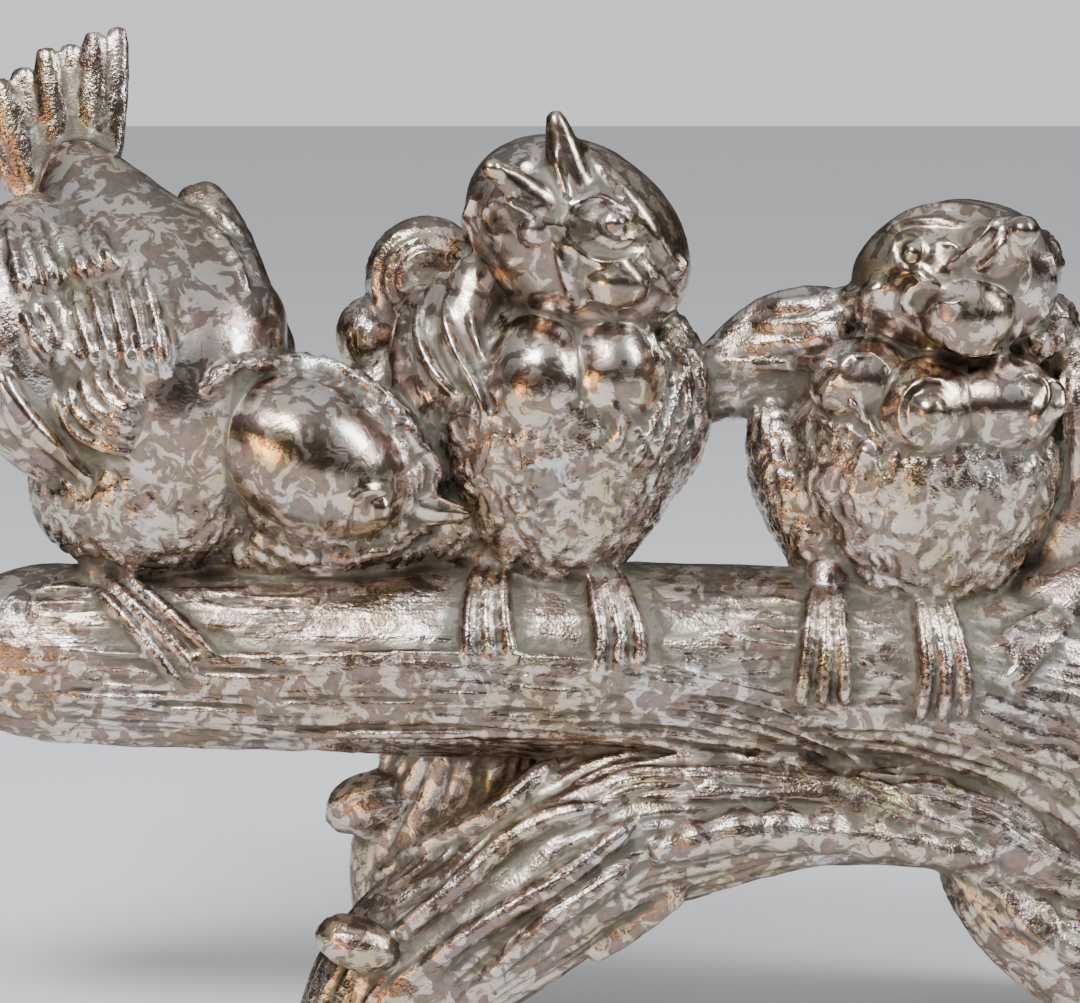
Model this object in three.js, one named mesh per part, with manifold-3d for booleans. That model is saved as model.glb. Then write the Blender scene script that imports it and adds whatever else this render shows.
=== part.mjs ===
// Three plump young birds on a driftwood branch: one solid casting that stands on its own roots.
// Millimetres, +Z up. The birds' fronts look along -Y, and +X is to the right of someone facing them.
import * as THREE from "three";
import { mergeVertices } from "three/addons/utils/BufferGeometryUtils.js";
import Module from "manifold-3d";

// Driving dimensions
const SKULL = 20; // half the width of a bird's head
const EYE_BALL = 2.7; // radius of an eye
const TOE = 3; // height of a toe on the perch
const TOE_SPACING = 4.2; // from one toe's middle to the next
const FEATHER = 2.6; // height of a wing feather
const QUILL = 5; // thickness of a tail feather
const FIBRE = 2.3; // height of a raised bark fibre
const PAD_DEPTH = 5; // how far a pad of ribs reaches into the solid under it

// The figurine is laid out on a front elevation, the plane y = 0, as someone at VIEWER sees it.
// Its back is laid out on the same plane, as someone at BEHIND sees it.
const VIEWER = new THREE.Vector3(0, -792, 221);
const BEHIND = new THREE.Vector3(0, 792, 221);
const FOOTPRINT_MIDDLE = new THREE.Vector3(17.7, 5.4, 0);

const COARSE = { around: 6, steps: 4 }; // the faceting of the smallest rounds
const DEPTH = new THREE.Vector3(0, 1, 0);
const { PI, hypot, sin } = Math;

const wasm = await Module();
wasm.setup();

function solidOf(geometry) {
  const bare = geometry.clone();
  bare.deleteAttribute("normal");
  bare.deleteAttribute("uv");
  const merged = mergeVertices(bare, 1e-4);
  const vertProperties = merged.getAttribute("position").array;
  const triVerts = new Uint32Array(merged.index.array);
  const solid = new wasm.Manifold(new wasm.Mesh({ numProp: 3, vertProperties, triVerts }));
  if (solid.volume() > 0) return solid;
  return new wasm.Manifold(new wasm.Mesh({ numProp: 3, vertProperties, triVerts: triVerts.reverse() }));
}

function geometryOf(solid) {
  const made = solid.getMesh();
  const shape = new THREE.BufferGeometry();
  shape.setAttribute("position", new THREE.BufferAttribute(made.vertProperties, 3));
  shape.setIndex(new THREE.BufferAttribute(made.triVerts, 1));
  shape.computeVertexNormals();
  return shape;
}

const fuse = (parts) => wasm.Manifold.union(parts.flat(Infinity));
const skinOf = (parts) => new THREE.Mesh(geometryOf(fuse(parts)), new THREE.MeshBasicMaterial());
const curveThrough = (points) => new THREE.CatmullRomCurve3(points, false, "catmullrom", 0.5);
const between = (a, b, share) => a.map((value, i) => value + (b[i] - value) * share);

// Elevation stations [x, y, z, half width, half depth]: x and z are read on the elevation,
// and the station lies at depth y on the viewer's line of sight through them.
function drawn(stations) {
  return stations.map(([x, y, z, wide = 1, deep = wide]) => {
    const share = 1 - y / VIEWER.y;
    const place = VIEWER.clone().lerp(new THREE.Vector3(x, 0, z), share);
    return { place, wide: wide * share, deep: deep * share };
  });
}

// A closed limb through stations. A sphere's rings are laid along the curve, and blunt says how full
// the ends are: 1 gives an egg, and a small value a rod with round ends.
function limb(stations, { around = 8, steps = 5, blunt = 0.4, facing = () => DEPTH } = {}) {
  const centres = curveThrough(stations.map(({ place }) => place));
  const sizes = curveThrough(stations.map(({ wide, deep }) => new THREE.Vector3(wide, deep, 0)));
  const shape = new THREE.SphereGeometry(1, around, steps);
  const points = shape.getAttribute("position");
  const p = new THREE.Vector3();
  for (let i = 0; i < points.count; i++) {
    p.fromBufferAttribute(points, i);
    const t = (1 - p.y) / 2;
    const ring = hypot(p.x, p.z);
    const fullness = ring > 1e-6 ? ring ** (blunt - 1) : 0;
    const tangent = centres.getTangent(t);
    const deep = facing(t).clone().projectOnPlane(tangent).normalize();
    const across = new THREE.Vector3().crossVectors(tangent, deep);
    const size = sizes.getPoint(t);
    const place = centres.getPoint(t);
    place.addScaledVector(deep, p.x * fullness * size.y);
    place.addScaledVector(across, p.z * fullness * size.x);
    points.setXYZ(i, place.x, place.y, place.z);
  }
  return solidOf(shape);
}

// An egg on the elevation. Its long half length leans down to the right by turn radians.
function egg(middle, [long, deep, high], { turn = 0, around = 8, steps = 5 } = {}) {
  const [{ place }] = drawn([middle]);
  const shape = new THREE.SphereGeometry(1, around, steps).rotateZ(PI / 2).scale(long, deep, high);
  return solidOf(shape.rotateY(turn).translate(place.x, place.y, place.z));
}

// Where a line of sight through [x, z] of the elevation first meets a solid.
function touch(skin, [x, z], eye = VIEWER) {
  const aim = new THREE.Vector3(x, 0, z).sub(eye).normalize();
  const [hit] = new THREE.Raycaster(eye, aim).intersectObject(skin);
  if (!hit) throw new Error(`nothing behind ${x}, ${z}`);
  return { place: hit.point, normal: hit.normal };
}

// A raised strip that lies on a solid along elevation points [x, z], half sunk in it, with slimmer ends.
function strip(skin, points, wide, high, { around = 4, steps = 4 } = {}) {
  const hits = points.map((point) => touch(skin, point));
  const normals = curveThrough(hits.map(({ normal }) => normal));
  const stations = hits.map(({ place }, i) => {
    const share = i % (hits.length - 1) === 0 ? 0.75 : 1;
    return { place, wide: wide * share, deep: high * share };
  });
  return limb(stations, { around, steps, facing: (t) => normals.getPoint(t) });
}

// Ribs side by side, such as feathers, toes or bark fibres: one corrugated pad that lies on a solid.
// first and last are the crests of its outer ribs on the elevation, from root to tip.
function ribs(skin, count, first, last, high, { rows = 2, eye } = {}) {
  const pad = new THREE.BoxGeometry(1, 1, 1, 2 * count, rows, 1);
  const points = pad.getAttribute("position");
  for (let i = 0; i < points.count; i++) {
    const column = Math.round((points.getX(i) + 0.5) * 2 * count);
    const onCrest = column % 2 === 1;
    const onRim = column === 0 || column === 2 * count;
    const along = (points.getY(i) + 0.5) * (onCrest ? 1 : 0.9);
    const share = (column - 1) / (2 * count - 2);
    const line = first.map((point, k) => new THREE.Vector3(...between(point, last[k], share), 0));
    const { x, y } = curveThrough(line).getPoint(along);
    const { place, normal } = touch(skin, [x, y], eye);
    const buried = points.getZ(i) < 0 || onRim || along < 0.01;
    const height = onCrest ? high * (0.75 + 0.25 * along) : high * 0.4;
    place.addScaledVector(normal, buried ? -PAD_DEPTH * (points.getZ(i) < 0 ? 1 : 0.2) : height);
    points.setXYZ(i, place.x, place.y, place.z);
  }
  return solidOf(pad);
}

// A ball set into a solid where the viewer sees [x, z].
function stud(skin, point, radius) {
  const { place } = touch(skin, point);
  return solidOf(new THREE.SphereGeometry(radius, 5, 4).translate(place.x, place.y, place.z));
}

// A tail of long feathers side by side: one fan, corrugated on both faces. The roots and tips [x, y, z]
// are those of its two edges, and the feathers in its middle reach further by bulge.
function tail(count, roots, tips, bulge, thick) {
  const fan = new THREE.BoxGeometry(1, 1, 1, 2 * count, 2, 1);
  const points = fan.getAttribute("position");
  for (let i = 0; i < points.count; i++) {
    const column = Math.round((points.getX(i) + 0.5) * 2 * count);
    const onQuill = column % 2 === 1;
    const share = column / (2 * count);
    const root = between(...roots, share);
    const tip = between(...tips, share);
    tip[2] += bulge * sin(PI * share);
    const along = (points.getY(i) + 0.5) * (onQuill ? 1 : 0.93);
    const [{ place }] = drawn([between(root, tip, along)]);
    place.addScaledVector(DEPTH, points.getZ(i) * thick * (onQuill ? 1 : 0.5));
    points.setXYZ(i, place.x, place.y, place.z);
  }
  return solidOf(fan);
}

// Three toes that grip the perch along a line on the elevation, and the shank above them.
function foot(wood, line) {
  const [x, z] = line[0];
  const run = new THREE.Vector2(line.at(-1)[0] - x, line.at(-1)[1] - z).normalize();
  const beside = (out) => line.map(([along, height], i) => {
    const spread = out * (i === 0 ? 0.7 : 1);
    return [along - run.y * spread, height + run.x * spread];
  });
  const toes = ribs(wood, 3, beside(-TOE_SPACING), beside(TOE_SPACING), TOE, { rows: 3 });
  const { y } = touch(wood, line[0]).place;
  const shank = drawn([[x, y + 9, z + 9, 4], [x, y + 3, z + 2, 4.6], [x, y + 1, z - 3, 3]]);
  return [toes, limb(shank, { around: 6, steps: 3 })];
}

// The bird on the left bows towards the front and the right, with its tail up behind it.
function bowingBird() {
  const body = limb(
    drawn([
      [-94, 20, 181, 9, 6],
      [-89, 15, 169, 15, 12],
      [-82, 6, 151, 26, 20],
      [-75, -1, 134, 29.5, 23],
      [-65, -5, 122, 26, 22],
      [-54, -7, 116, 18, 16],
    ]),
    { around: 12, steps: 7, blunt: 0.55 },
  );
  const nearWing = limb(
    drawn([
      [-97, 8, 170, 8, 7],
      [-104, -1, 156, 14, 13],
      [-104, -7, 139, 16, 14],
      [-98, -9, 124, 12, 11],
      [-91, -8, 112, 6, 6],
    ]),
    { around: 10, steps: 7, blunt: 0.5 },
  );
  const farWing = limb(
    drawn([
      [-68, 20, 173, 6, 5],
      [-65, 17, 162, 8, 8],
      [-58.5, 10, 148, 7, 10],
      [-51.5, 4, 137, 6, 9],
    ]),
  );
  const belly = egg([-78, -1, 113], [25, 20, 19], { around: 12 });
  const seat = egg([-44, 2, 102], [30, 14, 9]);
  const ruff = egg([-44, -5, 118], [26.5, 18, 20], { turn: 0.5, around: 10, steps: 6 });
  const cap = egg([-45.5, -12, 118.5], [22, 15.5, 15.5], { turn: 0.52, around: 10, steps: 7 });
  const beak = drawn([[-30, -10, 111, 5.5, 5], [-21, -12, 108, 3.6, 3.6], [-13.5, -13, 107, 1.6, 1.6]]);
  const whole = [body, nearWing, farWing, belly, seat, ruff, cap];
  const skin = skinOf(whole);
  return [
    whole,
    tail(7, [[-105, 20, 166], [-83, 19, 167]], [[-115, 24, 193], [-81, 26, 206]], 4, QUILL),
    ribs(skin, 6, [[-108, 163], [-107, 155], [-103, 147]], [[-87, 166], [-83, 160], [-78, 154]], FEATHER),
    ribs(skin, 7, [[-106, 148], [-105, 142], [-101, 134]], [[-80, 157], [-77, 147], [-75, 137]], FEATHER),
    ribs(skin, 5, [[-97, 131], [-93, 123], [-84, 118]], [[-88, 136], [-83, 130], [-77, 128]], FEATHER),
    strip(skin, [[-110, 135], [-102, 123], [-90, 114]], 3.2, 3.4),
    limb(beak, { steps: 4 }),
    stud(skin, [-31.5, 108.5], EYE_BALL),
  ];
}

// The middle bird faces the front and calls upwards, with one wing half open behind it.
function callingBird() {
  const body = limb(
    drawn([
      [6, -6, 93, 15, 12],
      [5, -3, 105, 22, 17],
      [4.5, 0, 120, 27, 22],
      [4.5, 3, 134, 27, 22],
      [7, 4, 146, 20, 18],
      [9, 3, 156, 15, 15],
    ]),
    { around: 12, steps: 7, blunt: 0.5 },
  );
  const head = egg([7.5, -2, 162.5], [25, SKULL, 18.7], { turn: 0.62, around: 10, steps: 7 });
  const breast = [egg([0, -9, 133], [12, 13.5, 15]), egg([14, -8, 135], [11, 13, 14])];
  const hip = egg([-19, 3, 106], [11, 13, 10]);
  const openWing = [
    egg([-22.5, 14, 154], [13, 8, 13.5]),
    egg([-33.5, 14, 143], [7.5, 7, 8.5], COARSE),
    egg([-28, 10, 132], [11, 8, 9]),
  ];
  const arm = [0, 1, 2].map((fold) => {
    const along = [[-11, 1, 158, 8], [-15, -5, 143, 5.5], [-11, -9, 133, 5.5], [-6, -10, 123, 4.5]];
    const stations = along.map(([x, y, z, thick]) => [x - 5 * fold, y + 3 * fold, z - 3 * fold, thick]);
    return limb(drawn(stations), { around: 6 });
  });
  const foldedWing = limb(
    drawn([
      [25, 0, 147, 5, 9],
      [28.5, 4, 134, 6, 13],
      [26.5, 6, 120, 6, 12],
      [19, 6, 108, 5, 9],
    ]),
  );
  const whole = [body, head, breast, hip, openWing, arm, foldedWing];
  const skin = skinOf(whole);
  const upperBeak = drawn([[10, -12, 166, 8, 7], [6, -14, 177, 5, 5], [2.2, -15, 187.5, 2.8, 2.6]]);
  const lowerBeak = drawn([[3, -16, 165, 5.5, 4.5], [-4, -19, 172, 4, 3.4], [-10, -21, 178.5, 2.8, 2.6]]);
  return [
    whole,
    limb(upperBeak),
    limb(lowerBeak),
    egg([15.5, -19, 153.5], [6.8, 5, 5.2], { turn: 0.15 }),
    egg([1.5, -20.5, 163], [2.8, 3, 3.6], COARSE),
    stud(skin, [15, 162.5], EYE_BALL),
    stud(skin, [-7, 166], EYE_BALL),
    ribs(skin, 4, [[-29, 162], [-32, 156], [-28, 148]], [[-20, 163], [-23, 159], [-20, 151]], FEATHER * 0.8),
    ribs(skin, 3, [[22, 143], [24, 131], [19, 114]], [[28, 141], [30, 131], [26, 117]], FEATHER),
    backOf(skin, 5, 146, 112),
  ];
}

// The bird on the right looks up over its shoulder, and its open wing meets the middle bird.
function watchingBird() {
  const body = limb(
    drawn([
      [77, -6, 85, 15, 12],
      [77, -3, 97, 22, 17],
      [77, 0, 111, 28, 22],
      [77, 3, 125, 28, 22],
      [79, 4, 137, 22, 18],
      [83, 3, 147, 17, 15],
    ]),
    { around: 12, steps: 7, blunt: 0.5 },
  );
  const head = egg([82.5, -2, 154], [SKULL * 1.07, 17, 16.5], { turn: -0.12, around: 10, steps: 7 });
  const openWing = limb(
    drawn([
      [27, 5, 131, 8, 7],
      [36, 7, 134, 9, 6],
      [45, 8, 138, 12, 6.5],
      [54, 7, 141, 13, 8],
      [64, 4, 140, 13, 10],
    ]),
    { around: 10, steps: 7, blunt: 0.3 },
  );
  const flank = limb(
    drawn([
      [45, 5, 130, 6, 6],
      [50, 4, 116, 9, 10],
      [56, 1, 102, 8, 10],
      [61, 0, 94, 7, 8],
    ]),
  );
  const farWing = limb(
    drawn([
      [102, 4, 146, 6, 10],
      [108, 6, 132, 10, 14],
      [110, 8, 117, 11, 14],
      [101, 6, 92, 12, 13],
    ]),
  );
  const breast = [
    egg([64, -8, 134], [11, 10, 9]),
    egg([77, -12, 128], [11, 11, 11]),
    egg([91, -9, 129], [13, 12, 11]),
  ];
  const cheek = egg([99, 0, 157], [5, 6, 7.5], COARSE);
  const collar = egg([99, 2, 144], [9, 8, 9], COARSE);
  const throat = egg([85, -16, 147], [9.5, 7, 8]);
  const whole = [body, head, openWing, flank, farWing, breast, cheek, collar, throat];
  const skin = skinOf(whole);
  const beak = drawn([[86, -12, 157, 8.5, 8], [93, -16, 162, 5.5, 5], [98.5, -18, 165.5, 2.4, 2.4]]);
  return [
    whole,
    limb(beak),
    stud(skin, [73, 160], EYE_BALL),
    ribs(skin, 4, [[58, 147], [51, 147], [45, 147]], [[55, 137], [46, 137], [37, 138]], FEATHER),
    ribs(skin, 3, [[106, 138], [109, 128], [107, 114]], [[113, 136], [116, 126], [114, 114]], FEATHER),
    backOf(skin, 77, 134, 103),
  ];
}

// The back of an upright bird, which the elevation hides: two folded wings and a short tail.
function backOf(skin, middle, shoulder, rump) {
  const waist = (shoulder + rump) / 2;
  const wings = [-1, 1].map((hand) => {
    const at = (out, z) => [middle + hand * out, z];
    const inner = [at(3, shoulder), at(5, waist), at(4, rump)];
    const outer = [at(15, shoulder - 4), at(19, waist), at(11, rump - 2)];
    return ribs(skin, 3, inner, outer, FEATHER, { eye: BEHIND });
  });
  const roots = [-9, 9].map((out) => [middle + out, 12, rump]);
  const tips = [-15, 15].map((out) => [middle + out, 40, rump - 6]);
  return [wings, tail(4, roots, tips, 0, QUILL)];
}

// The branch: a long perch, an arched limb under it, a rear root, and the trunk's end on the right.
function bareBranch() {
  const perch = limb(
    drawn([
      [-126, 2, 78, 12, 12],
      [-112, 1, 79, 17, 17],
      [-98, 0, 79, 19.5, 19],
      [-58, 0, 78.5, 20, 20],
      [-18, 0, 78, 20.5, 21],
      [32, 0, 77, 20.5, 21],
      [72, 0, 75, 21, 22],
      [100, 2, 68, 25, 24],
      [124, 3, 50, 27, 26],
      [138, 3, 26, 25, 27],
      [142, 3, -8, 26, 28],
    ]),
    { around: 12, steps: 12, blunt: 0.25 },
  );
  const arch = limb(
    drawn([
      [116, -2, 30, 17, 17],
      [86, -4, 46, 14.5, 16],
      [57, -5, 48, 13.5, 16],
      [32, -6, 46, 17, 17],
      [12, -7, 41, 20, 18],
      [-7, -8, 27.5, 20, 19],
      [-28, -9, 11, 20, 20],
      [-38, -9, -12, 21, 21],
    ]),
    { around: 12, steps: 11, blunt: 0.3 },
  );
  const trunkToe = limb(
    drawn([
      [84, -4, 38, 7, 10],
      [96, -6, 25, 10, 12],
      [116, -6, 15, 15, 18],
      [146, -2, 2, 18, 24],
    ]),
    { blunt: 0.25 },
  );
  const rearRoot = limb(
    drawn([
      [-8, 6, 66, 20, 9],
      [-17, 8, 50, 19, 9],
      [-26, 11, 34, 13, 10],
      [-24, 18, 14, 11, 12],
      [-22, 26, -8, 13, 14],
    ]),
    { blunt: 0.3 },
  );
  const sideLimb = limb(
    drawn([
      [82, 2, 66, 15, 15],
      [102, 4, 84, 15, 16],
      [120, 8, 96, 12, 13],
      [133, 10, 103, 9, 10],
    ]),
    { steps: 6, blunt: 0.22 },
  );
  const stump = limb(drawn([[-26, 5, 50, 8, 6], [-37, 6, 47, 7, 5], [-42.5, 7, 44, 3.5, 3]]));
  return [perch, arch, trunkToe, rearRoot, sideLimb, stump];
}

// The raised fibres and the knotty vine that follow the grain.
function grain(skin) {
  const perchTop = [[-114, 80], [-90, 77.5], [-50, 78], [-12, 77], [30, 75], [70, 68], [106, 58]];
  const perchFoot = [[-100, 65], [-80, 64], [-50, 62.5], [-14, 61], [24, 61], [60, 57], [96, 47]];
  const archTop = [[6, 57], [-8, 46], [-22, 35], [-33, 25]];
  const archFoot = [[20, 35], [6, 26], [-4, 16], [-10, 9]];
  const rearTop = [[-112, 86], [-40, 88], [40, 86], [88, 79]];
  const rearFoot = [[-106, 74], [-40, 73], [40, 71], [84, 66]];
  const vine = [[92, 38], [75, 41], [60, 42.5], [44, 43], [32, 41.5], [20, 37]];
  return [
    ribs(skin, 4, perchTop, perchFoot, FIBRE, { rows: 6 }),
    ribs(skin, 5, archTop, archFoot, FIBRE * 1.2, { rows: 4 }),
    ribs(skin, 2, [[46, 52], [68, 53], [90, 47]], [[46, 56], [68, 57.5], [92, 51]], FIBRE),
    ribs(skin, 3, [[88, 78], [97, 85], [106, 93]], [[97, 70], [107, 78], [117, 88]], FIBRE),
    ribs(skin, 2, rearTop, rearFoot, FIBRE, { rows: 4, eye: BEHIND }),
    strip(skin, [[-60, 90], [-20, 89.5], [20, 90], [44, 89]], 1.6, 1.8, { steps: 5 }),
    strip(skin, vine, 4.6, 4, { around: 6, steps: 8 }),
    egg([-37, -25, 19], [9, 7, 5.5], { turn: 0.3 }),
  ];
}

const wood = bareBranch();
const woodSkin = skinOf(wood);
const feet = [
  [[-88, 94], [-81, 88], [-75, 82], [-69, 76]],
  [[-10, 96], [-10.5, 90], [-10.5, 83], [-9.5, 76.5]],
  [[12, 96], [14, 90], [16, 82], [16, 74]],
  [[57, 93], [57, 85], [57.5, 77], [56.5, 68]],
  [[78, 91], [80, 83], [82, 74], [81, 65]],
].map((line) => foot(woodSkin, line));
const underside = new THREE.BoxGeometry(600, 600, 100).translate(0, 0, -50);
const figure = fuse([wood, grain(woodSkin), bowingBird(), callingBird(), watchingBird(), feet]);

const plating = new THREE.MeshStandardMaterial({ color: 0x8a7a60, roughness: 0.25, metalness: 1 });
const casting = new THREE.Mesh(geometryOf(figure.subtract(solidOf(underside))), plating);
casting.name = "birds_on_branch";
casting.position.copy(FOOTPRINT_MIDDLE).negate();

const group = new THREE.Group();
group.add(casting);

export default group;
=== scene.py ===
"""Three plump young birds on a driftwood branch, cast in one piece and plated in antique silver and bronze.

The casting is drawn on a front elevation in millimetres, as someone at VIEWER sees it, and its carving
lies on the forms under it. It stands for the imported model's only node.
"""

import math

import bpy
import numpy as np
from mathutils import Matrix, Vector
from mathutils.bvhtree import BVHTree


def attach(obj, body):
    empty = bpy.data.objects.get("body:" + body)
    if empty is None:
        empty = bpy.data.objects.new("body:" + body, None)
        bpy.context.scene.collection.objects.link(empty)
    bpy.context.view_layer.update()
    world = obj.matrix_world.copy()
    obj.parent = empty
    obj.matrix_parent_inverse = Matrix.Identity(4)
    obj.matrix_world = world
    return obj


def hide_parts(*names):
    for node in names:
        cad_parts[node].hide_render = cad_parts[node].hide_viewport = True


bl_info = {
    "name": "Birds on Branch Figurine",
    "version": (1, 0, 0),
    "blender": (4, 5, 0),
    "location": "View3D > Sidebar > Figurine",
    "description": "Builds a plated casting of young birds on a branch, and the studio it stands in",
    "category": "Object",
}

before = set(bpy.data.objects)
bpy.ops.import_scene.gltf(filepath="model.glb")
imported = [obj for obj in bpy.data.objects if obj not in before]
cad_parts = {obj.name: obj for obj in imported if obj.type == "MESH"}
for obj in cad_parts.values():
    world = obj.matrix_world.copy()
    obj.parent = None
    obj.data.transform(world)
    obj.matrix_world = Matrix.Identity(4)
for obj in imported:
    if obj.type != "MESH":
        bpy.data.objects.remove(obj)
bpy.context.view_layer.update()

MM = 0.001
VIEWER = np.array([0.0, -792.0, 221.0])
BEHIND = np.array([0.0, 792.0, 221.0])
FOOTPRINT_MIDDLE = np.array([17.7, 5.4, 0.0])
DEPTH = np.array([0.0, 1.0, 0.0])
PHOTO_SIZE = (1080, 1003)
PIXELS_PER_MM = 5.0
GROUND_PIXEL = 1050.0

# What the surface is like: each form has one of these carvings.
SMOOTH, DOWN, WING, BARK, TOE, CORD = range(6)


# ---------------------------------------------------------------- laying forms out


def px(*pixels):
    """Elevation points [x, z] in millimetres of points measured in the photograph."""
    return [[(u - PHOTO_SIZE[0] / 2) / PIXELS_PER_MM, (GROUND_PIXEL - v) / PIXELS_PER_MM] for u, v in pixels]


def curve(points, t):
    """Places at the shares t of a smooth curve through points."""
    points = np.asarray(points, float)
    ends = np.vstack([2 * points[0] - points[1], points, 2 * points[-1] - points[-2]])
    place = np.clip(t, 0, 1) * (len(points) - 1)
    k = np.minimum(place.astype(int), len(points) - 2)
    w = (place - k)[:, None]
    before, start, end, after = (ends[k + i] for i in range(4))
    leave, arrive = (end - before) / 2, (after - start) / 2
    return (
        (2 * w**3 - 3 * w**2 + 1) * start
        + (w**3 - 2 * w**2 + w) * leave
        + (3 * w**2 - 2 * w**3) * end
        + (w**3 - w**2) * arrive
    )


def unit(v):
    return v / np.maximum(np.linalg.norm(v, axis=-1, keepdims=True), 1e-9)


def between(a, b, share):
    """Each number of a moved by share towards its partner in b."""
    return (np.asarray(a, float) * (1 - share) + np.asarray(b, float) * share).tolist()


def drawn(stations):
    """Elevation stations (x, y, z, half width, half depth) as places on the viewer's lines of sight at depth y."""
    rows = []
    for x, y, z, wide, *deep in stations:
        share = 1 - y / VIEWER[1]
        place = VIEWER + (np.array([x, 0, z]) - VIEWER) * share
        rows.append([*place, wide * share, (deep[0] if deep else wide) * share])
    return np.array(rows)


class Form:
    """One closed mesh of the casting: vertices in millimetres, faces, and each vertex's place along the grain."""

    def __init__(self, verts, faces, grain, kind):
        self.verts, self.faces, self.grain, self.kind = verts, faces, grain, kind


def ring_faces(rings, around):
    i, j = np.meshgrid(np.arange(rings - 1), np.arange(around), indexing="ij")
    a = i * around + j
    b = i * around + (j + 1) % around
    quads = np.stack([a, b, b + around, a + around], axis=-1).reshape(-1, 4)
    return np.vstack([quads[:, [0, 1, 2]], quads[:, [0, 2, 3]]])


def limb(rows, kind, around=40, steps=44, blunt=0.4, facing=None, snug=0.97, swell=None):
    """A closed limb through rows of (place, half width, half depth). blunt says how full its ends are, facing
    which way its depth points, and swell(t, arc) scales its rings."""
    theta = np.pi * np.arange(steps + 1) / steps
    t = (1 - np.cos(theta)) / 2
    centre = curve(rows[:, :3], t)
    size = np.maximum(curve(rows[:, 3:5], t), 0.05) * snug
    nudge = 1e-4
    tangent = unit(curve(rows[:, :3], t + nudge) - curve(rows[:, :3], t - nudge))
    deep = np.tile(DEPTH, (steps + 1, 1)) if facing is None else curve(facing, t)
    deep = unit(deep - tangent * np.sum(deep * tangent, axis=1, keepdims=True))
    across = np.cross(tangent, deep)
    full = np.sin(theta) ** blunt
    full[[0, -1]] = 0
    arc = np.concatenate([[0], np.cumsum(np.linalg.norm(np.diff(centre, axis=0), axis=1))])
    if swell is not None:
        full = full * swell(t, arc)
    phi = 2 * np.pi * np.arange(around) / around
    out = full[:, None, None] * (
        np.cos(phi)[None, :, None] * (size[:, 1, None, None] * deep[:, None])
        + np.sin(phi)[None, :, None] * (size[:, 0, None, None] * across[:, None])
    )
    mean = size.mean()
    grain = np.stack(np.broadcast_arrays(arc[:, None], mean * np.cos(phi), mean * np.sin(phi)), axis=-1)
    verts = (centre[:, None] + out).reshape(-1, 3)
    return Form(verts, ring_faces(steps + 1, around), grain.reshape(-1, 3), kind)


def egg(middle, half, kind, turn=0.0, around=36, steps=30, snug=0.97):
    """An egg on the elevation. Its long half length leans down to the right by turn radians."""
    place = drawn([(*middle, 1)])[0, :3]
    theta = np.pi * np.arange(steps + 1) / steps
    phi = 2 * np.pi * np.arange(around) / around
    p = np.stack(
        np.broadcast_arrays(
            -np.cos(theta)[:, None], np.sin(theta)[:, None] * np.cos(phi), np.sin(theta)[:, None] * np.sin(phi)
        ),
        axis=-1,
    ).reshape(-1, 3)
    p = p * np.array(half, float) * snug
    c, s = math.cos(turn), math.sin(turn)
    turned = np.stack([p[:, 0] * c + p[:, 2] * s, p[:, 1], -p[:, 0] * s + p[:, 2] * c], axis=-1)
    return Form(turned + place, ring_faces(steps + 1, around), p, kind)


class Skin:
    """The outside of some forms, which carving is laid on."""

    def __init__(self, forms):
        self.tree = BVHTree.FromPolygons(*joined(forms)[:2])

    def touch(self, point, eye=VIEWER):
        """Where a line of sight through an elevation point meets the skin, and the skin's normal there."""
        aim = unit(np.array([point[0], 0, point[1]]) - eye)
        place, normal, _, _ = self.tree.ray_cast(Vector(eye), Vector(aim))
        if place is None:
            raise ValueError(f"nothing lies behind {point}")
        normal = np.array(normal)
        return np.array(place), normal if normal @ aim < 0 else -normal


def joined(forms):
    """All forms' vertices and faces in one list each, and the form that each face belongs to."""
    verts, faces, owners, first = [], [], [], 0
    for k, form in enumerate(forms):
        verts.append(form.verts)
        faces.append(form.faces + first)
        owners.append(np.full(len(form.faces), k))
        first += len(form.verts)
    return np.vstack(verts).tolist(), np.vstack(faces).tolist(), np.concatenate(owners)


def strip(skin, points, wide, high, kind, eye=VIEWER, ends=0.75, sink=0.0, samples=7, **options):
    """A raised strip along elevation points, half sunk in the skin. wide and high may be lists along it."""
    t = np.linspace(0, 1, samples)
    path = curve(np.asarray(points, float), t)
    hits = [skin.touch(p, eye) for p in path]
    normals = np.array([n for _, n in hits])
    for _ in range(2):
        normals[1:-1] = unit(normals[:-2] + normals[1:-1] * 2 + normals[2:])
    wides = np.interp(t, np.linspace(0, 1, np.size(wide)), np.atleast_1d(wide))
    highs = np.interp(t, np.linspace(0, 1, np.size(high)), np.atleast_1d(high))
    taper = np.ones(samples)
    taper[[0, -1]] = ends
    rows = np.array(
        [[*(p - n * sink), w * k, h * k] for (p, _), n, w, h, k in zip(hits, normals, wides, highs, taper)]
    )
    settings = {"around": 16, "steps": 22, "snug": 1.0, "blunt": 0.45, "facing": normals}
    return limb(rows, kind, **{**settings, **options})


def row(skin, count, first, last, wide, high, kind=WING, **options):
    """Strips side by side, such as feathers. first and last are the outer ones, from root to tip."""
    return [
        strip(skin, between(first, last, i / (count - 1)), wide, high, kind, **options) for i in range(count)
    ]


def hoop(skin, middle, radius, thick, kind=SMOOTH, start=0.0, end=360.0, squash=1.0, turn=0.0, **options):
    """A raised ring, or an arc of one, around an elevation point."""
    angles = np.radians(np.linspace(start, end, 13))
    c, s = math.cos(turn), math.sin(turn)
    x, z = radius * np.cos(angles), radius * squash * np.sin(angles)
    points = np.stack([middle[0] + x * c + z * s, middle[1] - x * s + z * c], axis=-1)
    return strip(skin, points, thick, thick, kind, samples=13, steps=36, ends=1.0, **options)


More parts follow.
